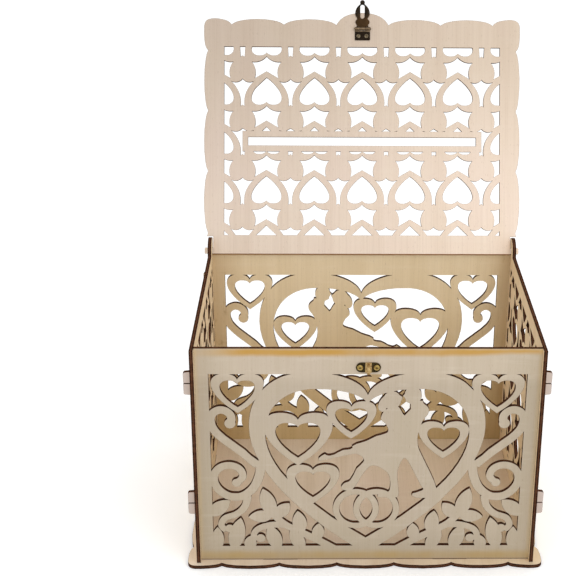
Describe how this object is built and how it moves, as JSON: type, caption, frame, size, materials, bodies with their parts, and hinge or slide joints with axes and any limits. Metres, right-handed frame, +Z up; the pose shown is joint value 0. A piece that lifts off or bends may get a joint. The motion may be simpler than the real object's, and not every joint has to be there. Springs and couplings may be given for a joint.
{
  "type": "wedding card box",
  "caption": "Flat-pack plywood wedding card box with pierced heart and scroll panels, a scalloped hinged lid with a card slot, and a small hasp.",
  "frame": {"origin": "centre of the base plate's underside", "axes": "+X to the right seen from the front, +Y to the back where the lid hinges, +Z up"},
  "size_m": [0.3174, 0.3191, 0.444],
  "materials": {
    "birch_pale": "raw sanded birch plywood with scorched, laser-cut edges",
    "birch_warm": "raw sanded birch plywood, warmer veneer",
    "antique_bronze": "darkened antique bronze, satin",
    "olive_brass": "worn antique brass, satin"
  },
  "bodies": {
    "box": {"base_plate": "birch_pale", "front_panel": "birch_pale", "back_panel": "birch_warm", "right_side_panel": "birch_warm", "left_side_panel": "birch_warm", "hasp_staple": "olive_brass", "staple_screw_left": "olive_brass", "staple_screw_right": "olive_brass"},
    "lid": {"lid_panel": "birch_pale", "hasp_leaf": "antique_bronze", "hasp_pin": "antique_bronze", "leaf_screw_left": "antique_bronze", "leaf_screw_right": "antique_bronze"},
    "hasp": {"hasp_arm": "antique_bronze"}
  },
  "joints": [
    {"name": "lid_hinge", "type": "hinge", "parent": "box", "child": "lid", "pos_m": [0, 0.105, 0.21575], "axis": [1, 0, 0], "range_deg": [0, 112.2]},
    {"name": "hasp_hinge", "type": "hinge", "parent": "lid", "child": "hasp", "pos_m": [0, 0.18686, 0.41815], "axis": [1, 0, 0], "range_deg": [0, 90]}
  ]
}
